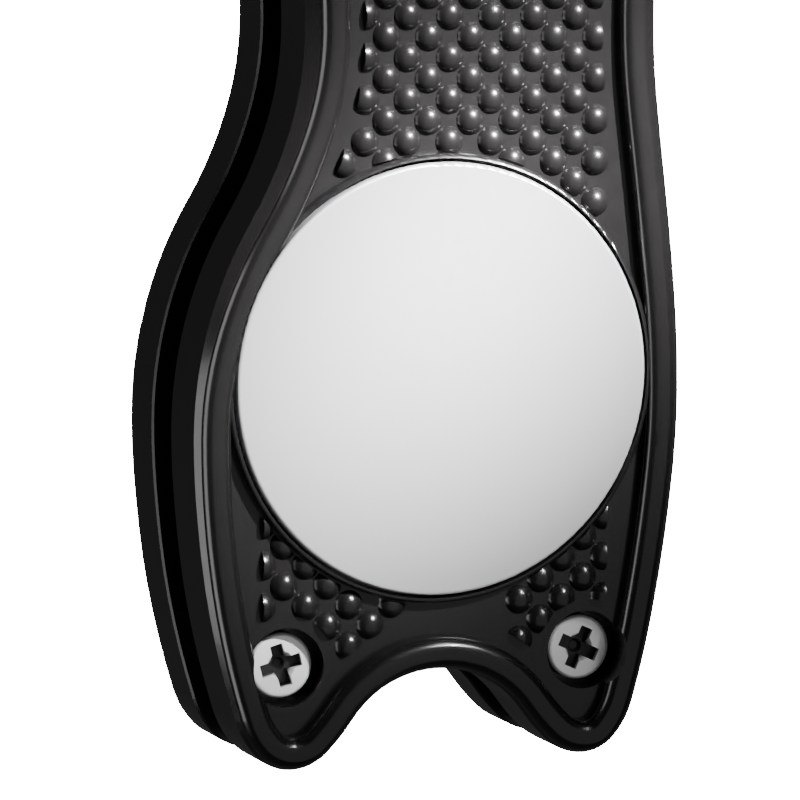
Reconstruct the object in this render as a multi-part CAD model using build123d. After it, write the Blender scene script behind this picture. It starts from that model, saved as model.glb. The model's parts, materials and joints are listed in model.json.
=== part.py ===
from build123d import *
import math
import os

os.makedirs("parts", exist_ok=True)

# Folding divot repair tool, laid on its back: +Z leaves the front face, +Y points to the fork.
# The origin is on the back face, under the middle of the ball marker.

# Heights of the layers
BACK_TOP = 4.1
FRONT_BASE = 7.5
FRONT_EDGE = 11.85
FIELD_FLOOR = 11.3
RIM_TOP = 12.4
BACK_FIELD = 0.5

# Widths of the raised rim, of the smooth web inside it and of the back plate's rim,
# and the height of the slope between the front plate's wall and its rim
RIM_WIDE = 1.78
WEB = 1.0
BACK_RIM = 2.0
SHOULDER = 0.4

# Ball marker and its seat
MARKER_R = 12.5
MARKER_THICK = 1.6
MARKER_FLOOR = 10.6
SEAT_R = 12.7
COLLAR_R = 13.0
COLLAR_TOP = 12.0
MAGNET_R = 6.0
MAGNET_THICK = 2.0

# Pivot, fork and button
PIVOT_X = 1.5
PIVOT_Y = 41.0
BUSH_R = 3.2
BUSH_BORE = 1.6
BUSH_BASE = 2.8
BUSH_TOP = 8.6
FORK_BASE = 4.4
FORK_TOP = 7.2
FORK_REACH = 53.0
HUB_R = 8.0
BLADE_HALF = 6.0
LOCK_R = 6.3
LOCK_HOLE_R = 0.95
COIL_R = 4.2
COIL_WIRE_R = 0.26
COIL_LOW = 6.0
COIL_HIGH = 6.95
COIL_SEAT_R = 5.0
COIL_SEAT_FLOOR = 5.6
WASHER_THICK = 0.2
WASHER_GAP = 0.05
BUTTON_R = 3.55
FLANGE_R = 4.05
BOSS_R = 6.4
BEZEL_R = 5.2

# Screws and the posts they pull on
POST_R = 1.9
SPIGOT_R = 1.6
SHANK_R = 1.1
LOWER_SCREWS = [(-9.2, -16.35), (9.2, -16.35)]
UPPER_SCREWS = [(9.65, 47.5), (9.65, 34.5)]
HEAD_R = 1.9
HEAD_SEAT = 9.4
HEAD_TOP = 10.5
COUNTERBORE_R = 2.3
CLEAR_R = 3.0

# Grip domes
DOME_R = 0.86
DOME_TALL = 0.48
DOME_ROW = 1.2
DOME_LEAN = -0.024
LEAST_DOME = 0.12
UPPER_STEP = 1.285
UPPER_ORIGIN = (-0.7, 10.03)
LOWER_STEP = 1.315
LOWER_ORIGIN = (-0.14, -10.63)
FIELD_SIDES = (-10.7, 10.45)
BARE_WEB = (-1.6, 4.2)

# Leaf latch, in a slot of the back plate
SLOT_HALF = 2.2
SLOT_FLOOR = 1.2
LEAF_BASE = 2.3
LEAF_THICK = 0.4
LEAF_ANCHOR = 19.0


# Points the outline passes through, anticlockwise from the notch: x, y, heading in degrees,
# and how far the raised rim stands in from the edge there
OUTLINE_POINTS = [
    (0, -16.9, 0, 0.15),
    (5.2, -19.6, -55, 0.15),
    (9.1, -22.4, 0, 0.15),
    (12.2, -19.5, 74, 0.25),
    (14.15, -10.0, 82, 0.3),
    (14.85, -1.5, 90, 0.3),
    (13.95, 10.6, 97, 0.38),
    (13.1, 20.5, 90, 0.45),
    (14.3, 40.0, 90, 0.5),
    (12.6, 50.6, 114, 0.5),
    (1.3, 57.2, 180, 0.5),
    (-9.6, 51.2, 241, 0.6),
    (-11.8, 41.0, 270, 0.7),
    (-8.25, 20.3, 270, 0.85),
    (-11.45, 9.45, 238.7, 0.6),
    (-14.85, -2.9, 270, 0.3),
    (-14.35, -10.0, 277, 0.25),
    (-12.3, -19.25, 287.5, 0.2),
    (-8.9, -22.3, 360, 0.15),
    (-5.2, -19.6, 415, 0.15),
]


def biarc(start, end):
    """Two arcs that leave and arrive along the headings of two outline points."""
    p, q = Vector(*start[:2]), Vector(*end[:2])
    t = Vector(1, 0).rotate(Axis.Z, start[2])
    u = Vector(1, 0).rotate(Axis.Z, end[2])
    chord = q - p
    along = chord.dot(t + u)
    spread = 2 * (1 - t.dot(u))
    if spread < 1e-9:
        reach = chord.dot(chord) / (4 * chord.dot(u))
    else:
        reach = (math.sqrt(along**2 + spread * chord.dot(chord)) - along) / spread
    a, b = p + t * reach, q - u * reach
    middle = (a + b) / 2
    return [TangentArc(p, middle, tangent=t), TangentArc(middle, q, tangent=b - a)]


def outline(share):
    """Notch between two horns, groove on the left and round head, drawn in by a share of the ledge."""
    points = []
    for x, y, heading, ledge in OUTLINE_POINTS:
        inward = Vector(0, 1).rotate(Axis.Z, heading) * ledge * share
        points.append((x + inward.X, y + inward.Y, heading))
    arcs = []
    for start, end in zip(points, points[1:] + points[:1]):
        arcs += biarc(start, end)
    return make_face(Wire(arcs))


OUTLINE = outline(0)
RIM_OUTLINE = outline(1)


def slab(face, low, high):
    """A face drawn at height 0, made solid between two heights."""
    return extrude(Pos(0, 0, low) * face, high - low)


def inset(face, distance):
    return offset(face, -distance).face()


def rod(x, y, low, high, radius):
    tall = high - low
    return Pos(x, y, low + tall / 2) * Cylinder(radius, tall)


def tube(x, y, low, high, outer, inner):
    return rod(x, y, low, high, outer) - rod(x, y, low - 1, high + 1, inner)


def edges_at(solid, height):
    return solid.edges().filter_by(lambda e: abs(e.bounding_box().min.Z - height) < 1e-3
                                   and abs(e.bounding_box().max.Z - height) < 1e-3)


def dome_field():
    """The region that carries the domes, at height 0."""
    left, right = FIELD_SIDES
    region = inset(RIM_OUTLINE, RIM_WIDE + WEB)
    region &= Pos((left + right) / 2, 0) * Rectangle(right - left, 200)
    region -= Circle(COLLAR_R + 0.1)
    region -= Pos(PIVOT_X, PIVOT_Y) * Circle(BOSS_R + 0.5)
    for x, y in LOWER_SCREWS + UPPER_SCREWS:
        region -= Pos(x, y) * Circle(CLEAR_R)
    return region


def lattice(origin, step, rows):
    """Centres of staggered domes, in rows that lean a little from left to right."""
    centres = []
    for row in rows:
        for column in range(-13 + (row + 1) % 2, 14, 2):
            x = origin[0] + column * step
            centres.append((x, origin[1] + row * DOME_ROW + DOME_LEAN * x))
    return centres


def dome_centres():
    """Rows above the marker, and short ones on both sides below it."""
    lower = lattice(LOWER_ORIGIN, LOWER_STEP, range(-4, 6))
    lower = [(x, y) for x, y in lower if not BARE_WEB[0] < x < BARE_WEB[1]]
    return lower + lattice(UPPER_ORIGIN, UPPER_STEP, range(-2, 39))


def domes():
    """Round-topped domes, trimmed to the field."""
    ball = (DOME_R**2 + DOME_TALL**2) / (2 * DOME_TALL)
    region = dome_field()
    found = []
    for x, y in dome_centres():
        if region.distance_to(Vertex(x, y, 0)) < 0.35:
            found.append(Pos(x, y, FIELD_FLOOR + DOME_TALL - ball) * Rot(90, 0, 0) * Sphere(ball))
    prism = slab(region, FIELD_FLOOR - 0.2, RIM_TOP)
    pieces = [piece for item in found for piece in (item & prism).solids()]
    return [piece for piece in pieces if piece.volume > LEAST_DOME]


def front_plate():
    wall_top = FRONT_EDGE - SHOULDER
    body = slab(OUTLINE, FRONT_BASE, wall_top)
    body += loft([Pos(0, 0, wall_top) * OUTLINE, Pos(0, 0, FRONT_EDGE) * RIM_OUTLINE], ruled=True)
    body -= slab(inset(RIM_OUTLINE, RIM_WIDE), FIELD_FLOOR, RIM_TOP)
    rim = slab(RIM_OUTLINE, wall_top - 0.3, RIM_TOP)
    rim -= slab(inset(RIM_OUTLINE, RIM_WIDE), FIELD_FLOOR - 1, RIM_TOP + 1)
    rim = fillet(edges_at(rim, RIM_TOP), 0.75)
    body += rim
    collar = rod(0, 0, FIELD_FLOOR - 0.2, COLLAR_TOP, COLLAR_R)
    body += fillet(edges_at(collar, COLLAR_TOP), 0.25)
    body += rod(PIVOT_X, PIVOT_Y, FIELD_FLOOR - 0.2, FIELD_FLOOR + 0.6, BOSS_R)
    body = body.fuse(*domes())
    for x, y in LOWER_SCREWS + UPPER_SCREWS:
        body -= rod(x, y, HEAD_SEAT, RIM_TOP + 1, COUNTERBORE_R)
        body -= rod(x, y, FRONT_BASE - 1, HEAD_SEAT + 1, 1.3)
    body -= rod(0, 0, MARKER_FLOOR, RIM_TOP + 1, SEAT_R)
    body -= rod(0, 0, MARKER_FLOOR - MAGNET_THICK, MARKER_FLOOR + 1, MAGNET_R)
    body -= rod(PIVOT_X, PIVOT_Y, FRONT_BASE - 1, BUSH_TOP, BUSH_R)
    body -= rod(PIVOT_X, PIVOT_Y, BUSH_TOP, RIM_TOP + 1, FLANGE_R + 0.07)
    body -= rod(PIVOT_X, PIVOT_Y, 10.65, RIM_TOP + 1, BEZEL_R)
    body -= rod(PIVOT_X - COIL_R, PIVOT_Y, FRONT_BASE - 1, BUSH_TOP, 0.4)
    return body


def back_plate():
    body = slab(OUTLINE, 0, BACK_TOP)
    body = fillet(edges_at(body, 0), 0.4)
    body = chamfer(edges_at(body, BACK_TOP), 0.12)
    body -= slab(inset(OUTLINE, BACK_RIM), -1, BACK_FIELD)
    slot = Pos(PIVOT_X, PIVOT_Y - 6) * RectangleRounded(2 * SLOT_HALF, 32, 1.0)
    body -= slab(slot, LEAF_BASE, BACK_TOP + 1)
    deep = Pos(PIVOT_X, PIVOT_Y - 2.5) * RectangleRounded(2 * SLOT_HALF, 25, 1.0)
    body -= slab(deep, SLOT_FLOOR, BACK_TOP + 1)
    body -= rod(PIVOT_X, PIVOT_Y, BUSH_BASE, BACK_TOP + 1, BUSH_R)
    body -= rod(PIVOT_X, PIVOT_Y - LEAF_ANCHOR, SLOT_FLOOR, BACK_TOP, 0.8)
    for x, y in LOWER_SCREWS + UPPER_SCREWS:
        body -= rod(x, y, 1.5, BACK_TOP + 1, SPIGOT_R)
    return body


def spine_spacer():
    """Bar that closes the right side of the gap, hollowed beside the two upper posts."""
    band = inset(OUTLINE, 0.6) - inset(OUTLINE, 2.6)
    band &= Pos(14, 22) * Rectangle(12, 60)
    for x, y in UPPER_SCREWS:
        band -= Pos(x, y) * Circle(POST_R + 0.15)
    return slab(band, BACK_TOP, FRONT_BASE)


def posts(places):
    """Threaded spacer posts, their spigots pressed into the back plate."""
    group = []
    for x, y in places:
        post = rod(x, y, BACK_TOP, FRONT_BASE, POST_R) + rod(x, y, 1.6, BACK_TOP, SPIGOT_R)
        group.append(post - rod(x, y, 2.4, FRONT_BASE + 1, SHANK_R + 0.02))
    return Compound(children=group)


def screws(places, turns):
    """Pan-head screws with a cross recess, each left at its own angle."""
    group = []
    for (x, y), turn in zip(places, turns):
        head = fillet(edges_at(rod(0, 0, HEAD_SEAT, HEAD_TOP, HEAD_R), HEAD_TOP), 0.25)
        arm = Pos(0, 0, HEAD_TOP) * (Box(2.5, 0.75, 1.3) + Box(0.75, 2.5, 1.3))
        screw = head - arm - Pos(0, 0, HEAD_TOP - 0.4) * Cone(0.25, 0.9, 1.0)
        screw += rod(0, 0, 3.0, HEAD_SEAT, SHANK_R)
        group.append(Pos(x, y, 0) * Rot(0, 0, turn) * screw)
    return Compound(children=group)


def fork():
    """Stamped fork: round hub with two latch holes, blade and two tapering prongs."""
    start = PIVOT_Y + 4
    root = PIVOT_Y + 21
    tip = PIVOT_Y + FORK_REACH
    left, right = PIVOT_X - BLADE_HALF, PIVOT_X + BLADE_HALF
    blade = make_face(Polyline((left, start), (right, start), (right, root),
                               (PIVOT_X + 5.8, tip), (PIVOT_X - 5.8, tip),
                               (left, root), (left, start)))
    gap = make_face(Polyline((PIVOT_X - 2.9, root + 3), (PIVOT_X + 2.9, root + 3),
                             (PIVOT_X + 4.0, tip + 1), (PIVOT_X - 4.0, tip + 1),
                             (PIVOT_X - 2.9, root + 3)))
    gap += Pos(PIVOT_X, root + 3) * Circle(2.9)
    shape = blade - gap
    ends = shape.vertices().filter_by(lambda v: abs(v.Y - tip) < 1e-3)
    shape = fillet(ends, 0.85)
    shape += Pos(PIVOT_X, PIVOT_Y) * Circle(HUB_R)
    plate = slab(shape, FORK_BASE, FORK_TOP)
    plate -= rod(PIVOT_X, PIVOT_Y, 0, 20, BUSH_R + 0.05)
    plate -= rod(PIVOT_X, PIVOT_Y, COIL_SEAT_FLOOR, 20, COIL_SEAT_R)
    plate -= rod(PIVOT_X + COIL_R, PIVOT_Y, 0, 20, 0.4)
    for way in (-1, 1):
        plate -= rod(PIVOT_X, PIVOT_Y + way * LOCK_R, 0, 20, LOCK_HOLE_R)
    return plate


def flip_spring():
    """Flat torsion coil round the pivot, one leg down into the hub and one up into the plate."""
    tall = COIL_HIGH - COIL_LOW
    path = Pos(PIVOT_X, PIVOT_Y, COIL_LOW) * Helix(tall / 1.5, tall, COIL_R)
    start = path @ 0
    section = Plane(origin=start, z_dir=path % 0) * Circle(COIL_WIRE_R)
    coil = sweep(section, path=path)
    coil += rod(PIVOT_X + COIL_R, PIVOT_Y, 4.8, COIL_LOW, COIL_WIRE_R) + Pos(start) * Sphere(COIL_WIRE_R)
    coil += rod(PIVOT_X - COIL_R, PIVOT_Y, COIL_HIGH, 8.3, COIL_WIRE_R)
    return coil + Pos(path @ 1) * Sphere(COIL_WIRE_R)


def washer(low, outer, inner):
    return tube(PIVOT_X, PIVOT_Y, low, low + WASHER_THICK, outer, inner)


def push_button():
    head = rod(PIVOT_X, PIVOT_Y, 10.0, 12.9, BUTTON_R)
    head = fillet(edges_at(head, 12.9), 0.9)
    flange = rod(PIVOT_X, PIVOT_Y, 9.6, 10.6, FLANGE_R)
    return head + flange + rod(PIVOT_X, PIVOT_Y, 2.72, 9.7, BUSH_BORE - 0.05)


def button_bezel():
    ring = tube(PIVOT_X, PIVOT_Y, 10.65, 12.5, BEZEL_R, BUTTON_R + 0.07)
    return chamfer(edges_at(ring, 12.5), 0.3)


def latch_leaf():
    """Strip spring, riveted at its lower end and free under the hub."""
    strip = Pos(PIVOT_X, PIVOT_Y - 6.4) * RectangleRounded(4.0, 30.6, 1.0)
    leaf = slab(strip, LEAF_BASE, LEAF_BASE + LEAF_THICK)
    leaf -= rod(PIVOT_X, PIVOT_Y - LEAF_ANCHOR, 0, 5, 0.8)
    return leaf - rod(PIVOT_X, PIVOT_Y + LOCK_R, 0, 5, 0.5)


def latch_pin():
    top = FORK_BASE + 0.9
    pin = rod(PIVOT_X, PIVOT_Y + LOCK_R, LEAF_BASE + LEAF_THICK, top, LOCK_HOLE_R - 0.1)
    pin = chamfer(edges_at(pin, top), 0.25)
    return pin + rod(PIVOT_X, PIVOT_Y + LOCK_R, LEAF_BASE, LEAF_BASE + LEAF_THICK, 0.5)


def leaf_rivet():
    y = PIVOT_Y - LEAF_ANCHOR
    head = rod(PIVOT_X, y, LEAF_BASE + LEAF_THICK, 3.3, 1.5)
    return fillet(edges_at(head, 3.3), 0.3) + rod(PIVOT_X, y, SLOT_FLOOR, 2.8, 0.8)


def marker():
    disc = rod(0, 0, MARKER_FLOOR, MARKER_FLOOR + MARKER_THICK, MARKER_R)
    return fillet(edges_at(disc, MARKER_FLOOR + MARKER_THICK), 0.2)


NODES = {
    "front_plate": front_plate(),
    "back_plate": back_plate(),
    "spine_spacer": spine_spacer(),
    "lower_posts": posts(LOWER_SCREWS),
    "upper_posts": posts(UPPER_SCREWS),
    "lower_screws": screws(LOWER_SCREWS, (15, -25)),
    "upper_screws": screws(UPPER_SCREWS, (35, 5)),
    "fork": fork(),
    "pivot_bushing": tube(PIVOT_X, PIVOT_Y, BUSH_BASE, BUSH_TOP, BUSH_R, BUSH_BORE),
    "front_thrust_washer": washer(FORK_TOP + WASHER_GAP, HUB_R - 0.3, COIL_SEAT_R + 0.3),
    "back_thrust_washer": washer(BACK_TOP + WASHER_GAP, 5.2, BUSH_R + 0.1),
    "flip_spring": flip_spring(),
    "push_button": push_button(),
    "button_bezel": button_bezel(),
    "latch_leaf": latch_leaf(),
    "latch_pin": latch_pin(),
    "leaf_rivet": leaf_rivet(),
    "marker_magnet": rod(0, 0, MARKER_FLOOR - MAGNET_THICK, MARKER_FLOOR, MAGNET_R),
    "ball_marker": marker(),
}

for name, solid in NODES.items():
    export_step(solid, f"parts/{name}.step")
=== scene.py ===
import json
import math

import bmesh
import bpy
from mathutils import Matrix, Vector

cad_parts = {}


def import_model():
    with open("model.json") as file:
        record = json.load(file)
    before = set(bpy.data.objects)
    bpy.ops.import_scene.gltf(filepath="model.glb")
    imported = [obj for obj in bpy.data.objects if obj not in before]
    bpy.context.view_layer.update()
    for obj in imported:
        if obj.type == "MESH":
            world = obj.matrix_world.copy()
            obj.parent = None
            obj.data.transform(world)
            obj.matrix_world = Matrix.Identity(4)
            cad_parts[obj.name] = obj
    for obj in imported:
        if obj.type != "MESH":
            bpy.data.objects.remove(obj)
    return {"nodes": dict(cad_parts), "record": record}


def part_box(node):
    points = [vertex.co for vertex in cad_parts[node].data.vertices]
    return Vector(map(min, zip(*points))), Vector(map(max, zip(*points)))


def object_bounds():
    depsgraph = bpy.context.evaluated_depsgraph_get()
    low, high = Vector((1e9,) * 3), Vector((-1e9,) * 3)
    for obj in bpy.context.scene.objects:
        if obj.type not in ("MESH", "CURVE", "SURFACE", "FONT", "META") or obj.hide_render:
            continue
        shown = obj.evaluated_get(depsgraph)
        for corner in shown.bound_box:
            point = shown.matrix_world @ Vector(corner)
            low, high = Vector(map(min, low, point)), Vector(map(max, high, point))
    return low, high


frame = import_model()
cad_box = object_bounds()
nodes = frame["nodes"]

# Noise stays mostly between these values, so they are taken as its ends
NOISE_LOW = 0.3
NOISE_HIGH = 0.7

# The cross recess of a screw, as depths below its head's top: painted shade, near black, from the first;
# none above the second
RECESS_SHADE_FULL = 0.0004
RECESS_SHADE_NONE = 0.0001

FLOOR_HALF_SIDE = 3
FLOOR_GAP = 0.00002

# The point on the front face that the softboxes are aimed at
FACE = (0, 0, 0.012)

# The height of a direction, -1 straight down and 1 straight up, between which the room's light changes
ROOM_FADE_LOW = -0.3
ROOM_FADE_HIGH = 0.6

# The camera: angles in degrees, place in metres along its own axes from the middle of the marker's face,
# lens and sensor in millimetres
CAMERA_TURN = 20.755
CAMERA_TILT = 8.365
CAMERA_ROLL = -0.369
CAMERA_PLACE = (-0.002497, -0.0011475, 0.400)
CAMERA_LENS = 314.7
CAMERA_SENSOR = 36


# ---------------------------------------------------------------- materials

def new_material(name):
    """An empty node material: returns it, its tree and its Principled shader."""
    material = bpy.data.materials.new(name)
    material.use_nodes = True
    tree = material.node_tree
    shader = tree.nodes["Principled BSDF"]
    return material, tree, shader


def noise(tree, scale, detail=3.0, stretch=(1, 1, 1)):
    """Noise in the object's own coordinates, where one unit is a metre."""
    place = tree.nodes.new("ShaderNodeTexCoord")
    mapping = tree.nodes.new("ShaderNodeMapping")
    mapping.inputs["Scale"].default_value = stretch
    texture = tree.nodes.new("ShaderNodeTexNoise")
    texture.inputs["Scale"].default_value = scale
    texture.inputs["Detail"].default_value = detail
    tree.links.new(place.outputs["Object"], mapping.inputs["Vector"])
    tree.links.new(mapping.outputs["Vector"], texture.inputs["Vector"])
    return texture.outputs["Fac"]


def ramp(tree, source, low, high):
    """Spreads noise over the range low to high."""
    node = tree.nodes.new("ShaderNodeMapRange")
    node.inputs["From Min"].default_value = NOISE_LOW
    node.inputs["From Max"].default_value = NOISE_HIGH
    node.inputs["To Min"].default_value = low
    node.inputs["To Max"].default_value = high
    tree.links.new(source, node.inputs["Value"])
    return node.outputs["Result"]


def tint(tree, source, first, second):
    """Mixes two colours by a 0 to 1 value."""
    node = tree.nodes.new("ShaderNodeMix")
    node.data_type = "RGBA"
    node.inputs["A"].default_value = (*first, 1)
    node.inputs["B"].default_value = (*second, 1)
    tree.links.new(source, node.inputs["Factor"])
    return node.outputs["Result"]


def bump(tree, shader, source, strength, depth):
    """A fine relief from a 0 to 1 value, with its depth in metres."""
    node = tree.nodes.new("ShaderNodeBump")
    node.inputs["Strength"].default_value = strength
    node.inputs["Distance"].default_value = depth
    tree.links.new(source, node.inputs["Height"])
    tree.links.new(node.outputs["Normal"], shader.inputs["Normal"])


def black_paint():
    """Semi-gloss black enamel on a casting, with a faint orange peel."""
    material, tree, shader = new_material("black_paint")
    blotches = noise(tree, 120, 4)
    tree.links.new(tint(tree, blotches, (0.0050, 0.0047, 0.0048), (0.0075, 0.0071, 0.0073)),
                   shader.inputs["Base Color"])
    tree.links.new(ramp(tree, noise(tree, 900, 5), 0.19, 0.25), shader.inputs["Roughness"])
    shader.inputs["Specular IOR Level"].default_value = 0.50
    bump(tree, shader, noise(tree, 2600, 2), 0.06, 0.00001)
    return material


def metal(name, first, second, low, high, grain, stretch=(1, 1, 1), depth=0.000004):
    """A bare or plated metal: colour drift, patchy roughness and a fine grain."""
    material, tree, shader = new_material(name)
    shader.inputs["Metallic"].default_value = 1.0
    tree.links.new(tint(tree, noise(tree, 90, 3), first, second), shader.inputs["Base Color"])
    tree.links.new(ramp(tree, noise(tree, grain, 6, stretch), low, high),
                   shader.inputs["Roughness"])
    bump(tree, shader, noise(tree, grain * 1.7, 4, stretch), 0.25, depth)
    return material


def bright_screw():
    """Nickel-plated heads with painted shade: near black down in the cross recess and on the head's side
    below its top.
    """
    material = metal("bright_screw", (0.95, 0.95, 0.96), (0.97, 0.97, 0.97), 0.30, 0.36, 3000)
    tree = material.node_tree
    shader = tree.nodes["Principled BSDF"]
    shader.inputs["Metallic"].default_value = 0.4
    plating = shader.inputs["Base Color"].links[0].from_socket
    place = tree.nodes.new("ShaderNodeTexCoord")
    split = tree.nodes.new("ShaderNodeSeparateXYZ")
    depth = tree.nodes.new("ShaderNodeMapRange")
    head_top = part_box("lower_screws")[1][2]
    depth.inputs["From Min"].default_value = head_top - RECESS_SHADE_FULL
    depth.inputs["From Max"].default_value = head_top - RECESS_SHADE_NONE
    # Painted shade: below the head's top the base colour is mixed to near black, so the recess and the
    # head's side look shaded.
    mix = tree.nodes.new("ShaderNodeMix")
    mix.data_type = "RGBA"
    mix.inputs["A"].default_value = (0.02, 0.02, 0.02, 1)
    tree.links.new(place.outputs["Object"], split.inputs["Vector"])
    tree.links.new(split.outputs["Z"], depth.inputs["Value"])
    tree.links.new(depth.outputs["Result"], mix.inputs["Factor"])
    tree.links.new(plating, mix.inputs["B"])
    tree.links.new(mix.outputs["Result"], shader.inputs["Base Color"])
    return material


def plastic(name, first, second, low, high):
    """A moulded plastic: slight colour drift, patchy roughness and a fine texture."""
    material, tree, shader = new_material(name)
    tree.links.new(tint(tree, noise(tree, 200, 3), first, second), shader.inputs["Base Color"])
    tree.links.new(ramp(tree, noise(tree, 1500, 5), low, high), shader.inputs["Roughness"])
    bump(tree, shader, noise(tree, 5000, 3), 0.2, 0.00002)
    return material


def marker_silver():
    """Pale satin silver with a soft sheen and no print."""
    material, tree, shader = new_material("marker_metal")
    shader.inputs["Metallic"].default_value = 0.35
    tree.links.new(tint(tree, noise(tree, 60, 3), (0.36, 0.36, 0.363), (0.385, 0.385, 0.385)),
                   shader.inputs["Base Color"])
    tree.links.new(ramp(tree, noise(tree, 1800, 5), 0.34, 0.42), shader.inputs["Roughness"])
    bump(tree, shader, noise(tree, 7000, 3), 0.08, 0.00001)
    return material


MATERIALS = {
    "black_paint": black_paint(),
    "black_plastic": plastic("black_plastic", (0.012, 0.012, 0.012), (0.02, 0.02, 0.02), 0.45, 0.6),
    "steel": metal("steel", (0.50, 0.50, 0.51), (0.58, 0.58, 0.58), 0.25, 0.4, 2500),
    "bright_screw": bright_screw(),
    "fork_steel": metal("fork_steel", (0.60, 0.60, 0.61), (0.68, 0.68, 0.68), 0.22, 0.34, 900,
                        (6, 0.6, 6)),
    "washer_plastic": plastic("washer_plastic", (0.80, 0.77, 0.68), (0.86, 0.84, 0.76), 0.35, 0.5),
    "spring_steel": metal("spring_steel", (0.28, 0.29, 0.33), (0.40, 0.40, 0.43), 0.2, 0.35, 2600),
    "button_chrome": metal("button_chrome", (0.82, 0.82, 0.83), (0.9, 0.9, 0.9), 0.06, 0.14, 2200),
    "magnet": metal("magnet", (0.66, 0.66, 0.68), (0.74, 0.74, 0.75), 0.15, 0.25, 2500),
    "marker_metal": marker_silver(),
}


def paint_nodes():
    """Every CAD node takes the material of its slot in the record."""
    for part in frame["record"]["subparts"]:
        obj = nodes[part["node"]]
        for slot in obj.material_slots:
            slot.material = MATERIALS[part["material_slot"]]


paint_nodes()


# ---------------------------------------------------------------- stage, lights, camera

def floor():
    """A plain pale floor that glows evenly, and that lights and reflects in nothing."""
    low, _ = cad_box
    mesh = bpy.data.meshes.new("floor")
    grid = bmesh.new()
    bmesh.ops.create_grid(grid, x_segments=1, y_segments=1, size=FLOOR_HALF_SIDE)
    grid.to_mesh(mesh)
    grid.free()
    obj = bpy.data.objects.new("floor", mesh)
    obj.location = (0, 0, low[2] - FLOOR_GAP)
    bpy.context.collection.objects.link(obj)
    material, tree, shader = new_material("floor")
    tree.links.new(tint(tree, noise(tree, 3, 2), (0.93, 0.93, 0.93), (0.95, 0.95, 0.95)),
                   shader.inputs["Base Color"])
    shader.inputs["Roughness"].default_value = 0.9
    shader.inputs["Specular IOR Level"].default_value = 0.1
    shader.inputs["Emission Color"].default_value = (1, 1, 1, 1)
    shader.inputs["Emission Strength"].default_value = 40.0
    mesh.materials.append(material)
    obj.visible_diffuse = False
    obj.visible_glossy = False


def softbox(name, spot, target, along, width, height, power):
    """A rectangular area light at spot, aimed at target, its height laid along a direction."""
    data = bpy.data.lights.new(name, "AREA")
    data.shape = "RECTANGLE"
    data.size = width
    data.size_y = height
    data.energy = power
    obj = bpy.data.objects.new(name, data)
    back = (Vector(spot) - Vector(target)).normalized()
    side = Vector(along).cross(back).normalized()
    turn = Matrix((side, back.cross(side), back)).transposed()
    obj.matrix_world = Matrix.Translation(Vector(spot)) @ turn.to_4x4()
    bpy.context.collection.objects.link(obj)


def spotlight(name, spot, target, radius, power):
    """A soft-edged spotlight whose pool of light on the target has the given radius."""
    data = bpy.data.lights.new(name, "SPOT")
    data.energy = power
    data.shadow_soft_size = 0.01
    data.spot_blend = 1.0
    reach = Vector(target) - Vector(spot)
    data.spot_size = 2 * math.atan(radius / reach.length)
    obj = bpy.data.objects.new(name, data)
    obj.location = spot
    obj.rotation_euler = reach.to_track_quat("-Z", "Y").to_euler()
    bpy.context.collection.objects.link(obj)


def world(below, above):
    """A grey room whose light fades from one strength below to another above."""
    scene_world = bpy.data.worlds.new("world")
    scene_world.use_nodes = True
    tree = scene_world.node_tree
    place = tree.nodes.new("ShaderNodeTexCoord")
    split = tree.nodes.new("ShaderNodeSeparateXYZ")
    level = tree.nodes.new("ShaderNodeMapRange")
    level.interpolation_type = "SMOOTHSTEP"
    level.inputs["From Min"].default_value = ROOM_FADE_LOW
    level.inputs["From Max"].default_value = ROOM_FADE_HIGH
    level.inputs["To Min"].default_value = below
    level.inputs["To Max"].default_value = above
    tree.links.new(place.outputs["Generated"], split.inputs["Vector"])
    tree.links.new(split.outputs["Z"], level.inputs["Value"])
    tree.links.new(level.outputs["Result"], tree.nodes["Background"].inputs["Strength"])
    bpy.context.scene.world = scene_world


def camera():
    """Long lens, above and to the left of the face, centred on the marker."""
    data = bpy.data.cameras.new("camera")
    data.sensor_width = CAMERA_SENSOR
    data.lens = CAMERA_LENS
    data.clip_start = 0.01
    obj = bpy.data.objects.new("camera", data)
    turn = (Matrix.Rotation(math.radians(CAMERA_TILT), 3, "X")
            @ Matrix.Rotation(math.radians(CAMERA_TURN), 3, "Y")
            @ Matrix.Rotation(math.radians(CAMERA_ROLL), 3, "Z"))
    face = Vector((0, 0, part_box("ball_marker")[1][2]))
    spot = turn.transposed() @ Vector(CAMERA_PLACE) + face
    obj.matrix_world = Matrix.Translation(spot) @ turn.transposed().to_4x4()
    bpy.context.collection.objects.link(obj)
    bpy.context.scene.camera = obj


floor()
world(below=1.0, above=0.42)
softbox("key", spot=(0.100, 0.150, 0.160), target=FACE, along=(0, 1, -0.8),
        width=0.008, height=0.10, power=0.13)
softbox("left", spot=(-0.70, -0.05, 0.02), target=FACE, along=(0, 1, 0),
        width=0.4, height=0.9, power=5.0)
softbox("front", spot=(0.20, -0.15, 0.76), target=FACE, along=(0, 1, 0),
        width=1.2, height=1.2, power=1.65)
spotlight("pool", spot=(0.22, 0.30, 0.34), target=(0.002, 0.009, 0.012), radius=0.0152, power=262.0)
camera()
